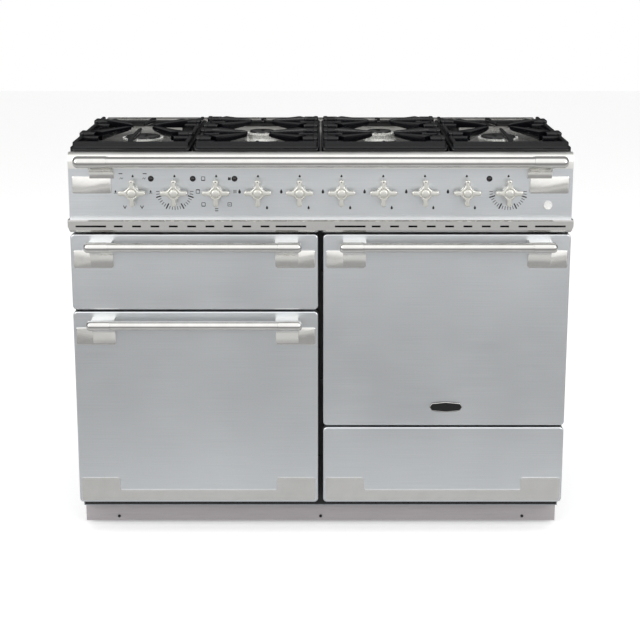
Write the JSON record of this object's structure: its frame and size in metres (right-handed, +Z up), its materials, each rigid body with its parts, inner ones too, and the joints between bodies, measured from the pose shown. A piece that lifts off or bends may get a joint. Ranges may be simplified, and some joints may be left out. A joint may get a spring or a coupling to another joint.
{
  "type": "range cooker with double oven",
  "caption": "Wide free-standing range cooker: two side-hung ovens, drop-down grill, storage drawer, gas hob with cast pan supports, rail and cross-shaped knobs.",
  "frame": {"origin": "middle of the base on the floor, under the centre of the bounding box", "axes": "+X to the cooker's left-to-right as seen from the front, +Y to the back, +Z up"},
  "size_m": [1.092, 0.6664, 0.904],
  "materials": {
    "brushed_steel": "brushed along the width",
    "polished_steel": "mirror polished",
    "satin_alloy": "satin plated casting",
    "cast_iron": "matt black enamel on cast iron",
    "black_enamel": "gloss black enamel",
    "grey_case": "grey painted sheet",
    "plinth_paint": "warm grey painted sheet",
    "galvanised": "zinc coated sheet",
    "oven_enamel": "speckled dark enamel",
    "wool": "glass wool blanket",
    "seal_rubber": "black heat resistant rubber",
    "chromed_wire": "chromed wire",
    "burner_alloy": "bright cast alloy",
    "element_steel": "dark heat stained tube",
    "brass_parts": "machined brass",
    "lens_red": "dark tinted lens",
    "white_plastic": "glossy white moulding",
    "badge_black": "gloss black plate with a bright rim",
    "foot_zinc": "zinc plated"
  },
  "bodies": {
    "root": {"base_frame": "galvanised", "burner_bodies": "burner_alloy", "burner_caps": "black_enamel", "control_panel": "brushed_steel", "door_hinges_and_catches": "black_enamel", "door_seals": "seal_rubber", "drawer_rails": "galvanised", "fan_guards": "oven_enamel", "fan_motors": "galvanised", "front_frame": "black_enamel", "gas_rail": "brass_parts", "grill_chamber_liner": "oven_enamel", "grill_pan": "oven_enamel", "handrail": "polished_steel", "heating_elements": "element_steel", "hob_fascia": "polished_steel", "hob_tray": "polished_steel", "indicator_lights": "lens_red", "left_oven_liner": "oven_enamel", "levelling_feet": "foot_zinc", "oven_insulation": "wool", "oven_shelves_and_guides": "chromed_wire", "plinth": "plinth_paint", "plinth_screws": "polished_steel", "rear_cover": "galvanised", "right_oven_liner": "oven_enamel", "side_panels": "grey_case", "taps_and_switches": "brass_parts", "vent_trim": "polished_steel"},
    "grill_door": {"grill_door_skin": "brushed_steel", "grill_door_inner_panel": "oven_enamel", "grill_door_handle": "polished_steel"},
    "left_oven_door": {"left_oven_door_skin": "brushed_steel", "left_oven_door_inner_panel": "oven_enamel", "left_oven_door_handle": "polished_steel", "left_oven_door_trim": "polished_steel"},
    "right_oven_door": {"right_oven_door_skin": "brushed_steel", "right_oven_door_inner_panel": "oven_enamel", "right_oven_door_handle": "polished_steel", "right_oven_door_badge": "badge_black"},
    "storage_drawer": {"drawer_front": "brushed_steel", "drawer_box": "galvanised", "drawer_trim": "polished_steel"},
    "knob_1": {"knob_1": "satin_alloy"},
    "knob_2": {"knob_2": "satin_alloy"},
    "knob_3": {"knob_3": "satin_alloy"},
    "knob_4": {"knob_4": "satin_alloy"},
    "knob_5": {"knob_5": "satin_alloy"},
    "knob_6": {"knob_6": "satin_alloy"},
    "knob_7": {"knob_7": "satin_alloy"},
    "knob_8": {"knob_8": "satin_alloy"},
    "knob_9": {"knob_9": "satin_alloy"},
    "knob_10": {"knob_10": "satin_alloy"},
    "push_button": {"push_button": "white_plastic"},
    "left_oven_fan": {"left_oven_fan": "galvanised"},
    "right_oven_fan": {"right_oven_fan": "galvanised"},
    "pan_support_1": {"pan_support_1": "cast_iron"},
    "pan_support_2": {"pan_support_2": "cast_iron"},
    "pan_support_3": {"pan_support_3": "cast_iron"},
    "pan_support_4": {"pan_support_4": "cast_iron"}
  },
  "joints": [
    {"name": "grill_door_hinge", "type": "hinge", "parent": "root", "child": "grill_door", "pos_m": [-0.27475, -0.26875, 0.536], "axis": [1, 0, 0], "range_deg": [0, 90]},
    {"name": "left_oven_door_hinge", "type": "hinge", "parent": "root", "child": "left_oven_door", "pos_m": [-0.533, -0.25975, 0.3028], "axis": [0, 0, -1], "range_deg": [0, 100]},
    {"name": "right_oven_door_hinge", "type": "hinge", "parent": "root", "child": "right_oven_door", "pos_m": [0.533, -0.25975, 0.48105], "axis": [0, 0, 1], "range_deg": [0, 100]},
    {"name": "drawer_slide", "type": "slide", "parent": "root", "child": "storage_drawer", "axis": [0, -1, 0], "range_m": [0, 0.38]},
    {"name": "knob_1_turn", "type": "hinge", "parent": "root", "child": "knob_1", "pos_m": [-0.405, -0.27475, 0.793], "axis": [0, 1, 0], "range_deg": [-150, 150]},
    {"name": "knob_2_turn", "type": "hinge", "parent": "root", "child": "knob_2", "pos_m": [-0.315, -0.27475, 0.793], "axis": [0, 1, 0], "range_deg": [0, 270]},
    {"name": "knob_3_turn", "type": "hinge", "parent": "root", "child": "knob_3", "pos_m": [-0.225, -0.27475, 0.793], "axis": [0, 1, 0], "range_deg": [0, 315]},
    {"name": "knob_4_turn", "type": "hinge", "parent": "root", "child": "knob_4", "pos_m": [-0.135, -0.27475, 0.793], "axis": [0, -1, 0], "range_deg": [0, 210]},
    {"name": "knob_5_turn", "type": "hinge", "parent": "root", "child": "knob_5", "pos_m": [-0.045, -0.27475, 0.793], "axis": [0, -1, 0], "range_deg": [0, 210]},
    {"name": "knob_6_turn", "type": "hinge", "parent": "root", "child": "knob_6", "pos_m": [0.045, -0.27475, 0.793], "axis": [0, -1, 0], "range_deg": [0, 210]},
    {"name": "knob_7_turn", "type": "hinge", "parent": "root", "child": "knob_7", "pos_m": [0.135, -0.27475, 0.793], "axis": [0, -1, 0], "range_deg": [0, 210]},
    {"name": "knob_8_turn", "type": "hinge", "parent": "root", "child": "knob_8", "pos_m": [0.225, -0.27475, 0.793], "axis": [0, -1, 0], "range_deg": [0, 210]},
    {"name": "knob_9_turn", "type": "hinge", "parent": "root", "child": "knob_9", "pos_m": [0.315, -0.27475, 0.793], "axis": [0, -1, 0], "range_deg": [0, 210]},
    {"name": "knob_10_turn", "type": "hinge", "parent": "root", "child": "knob_10", "pos_m": [0.405, -0.27475, 0.793], "axis": [0, 1, 0], "range_deg": [0, 270]},
    {"name": "button_press", "type": "slide", "parent": "root", "child": "push_button", "axis": [0, 1, 0], "range_m": [0, 0.003], "stiffness_N_per_m": 400, "springref_m": -0.002},
    {"name": "left_fan_spin", "type": "hinge", "parent": "root", "child": "left_oven_fan", "pos_m": [-0.27475, 0.15525, 0.3028], "axis": [0, 1, 0], "continuous": true},
    {"name": "right_fan_spin", "type": "hinge", "parent": "root", "child": "right_oven_fan", "pos_m": [0.27475, 0.15525, 0.48105], "axis": [0, 1, 0], "continuous": true},
    {"name": "pan_support_1_lift", "type": "slide", "parent": "root", "child": "pan_support_1", "axis": [0, 0, 1], "range_m": [0, 0.12]},
    {"name": "pan_support_2_lift", "type": "slide", "parent": "root", "child": "pan_support_2", "axis": [0, 0, 1], "range_m": [0, 0.12]},
    {"name": "pan_support_3_lift", "type": "slide", "parent": "root", "child": "pan_support_3", "axis": [0, 0, 1], "range_m": [0, 0.12]},
    {"name": "pan_support_4_lift", "type": "slide", "parent": "root", "child": "pan_support_4", "axis": [0, 0, 1], "range_m": [0, 0.12]}
  ]
}
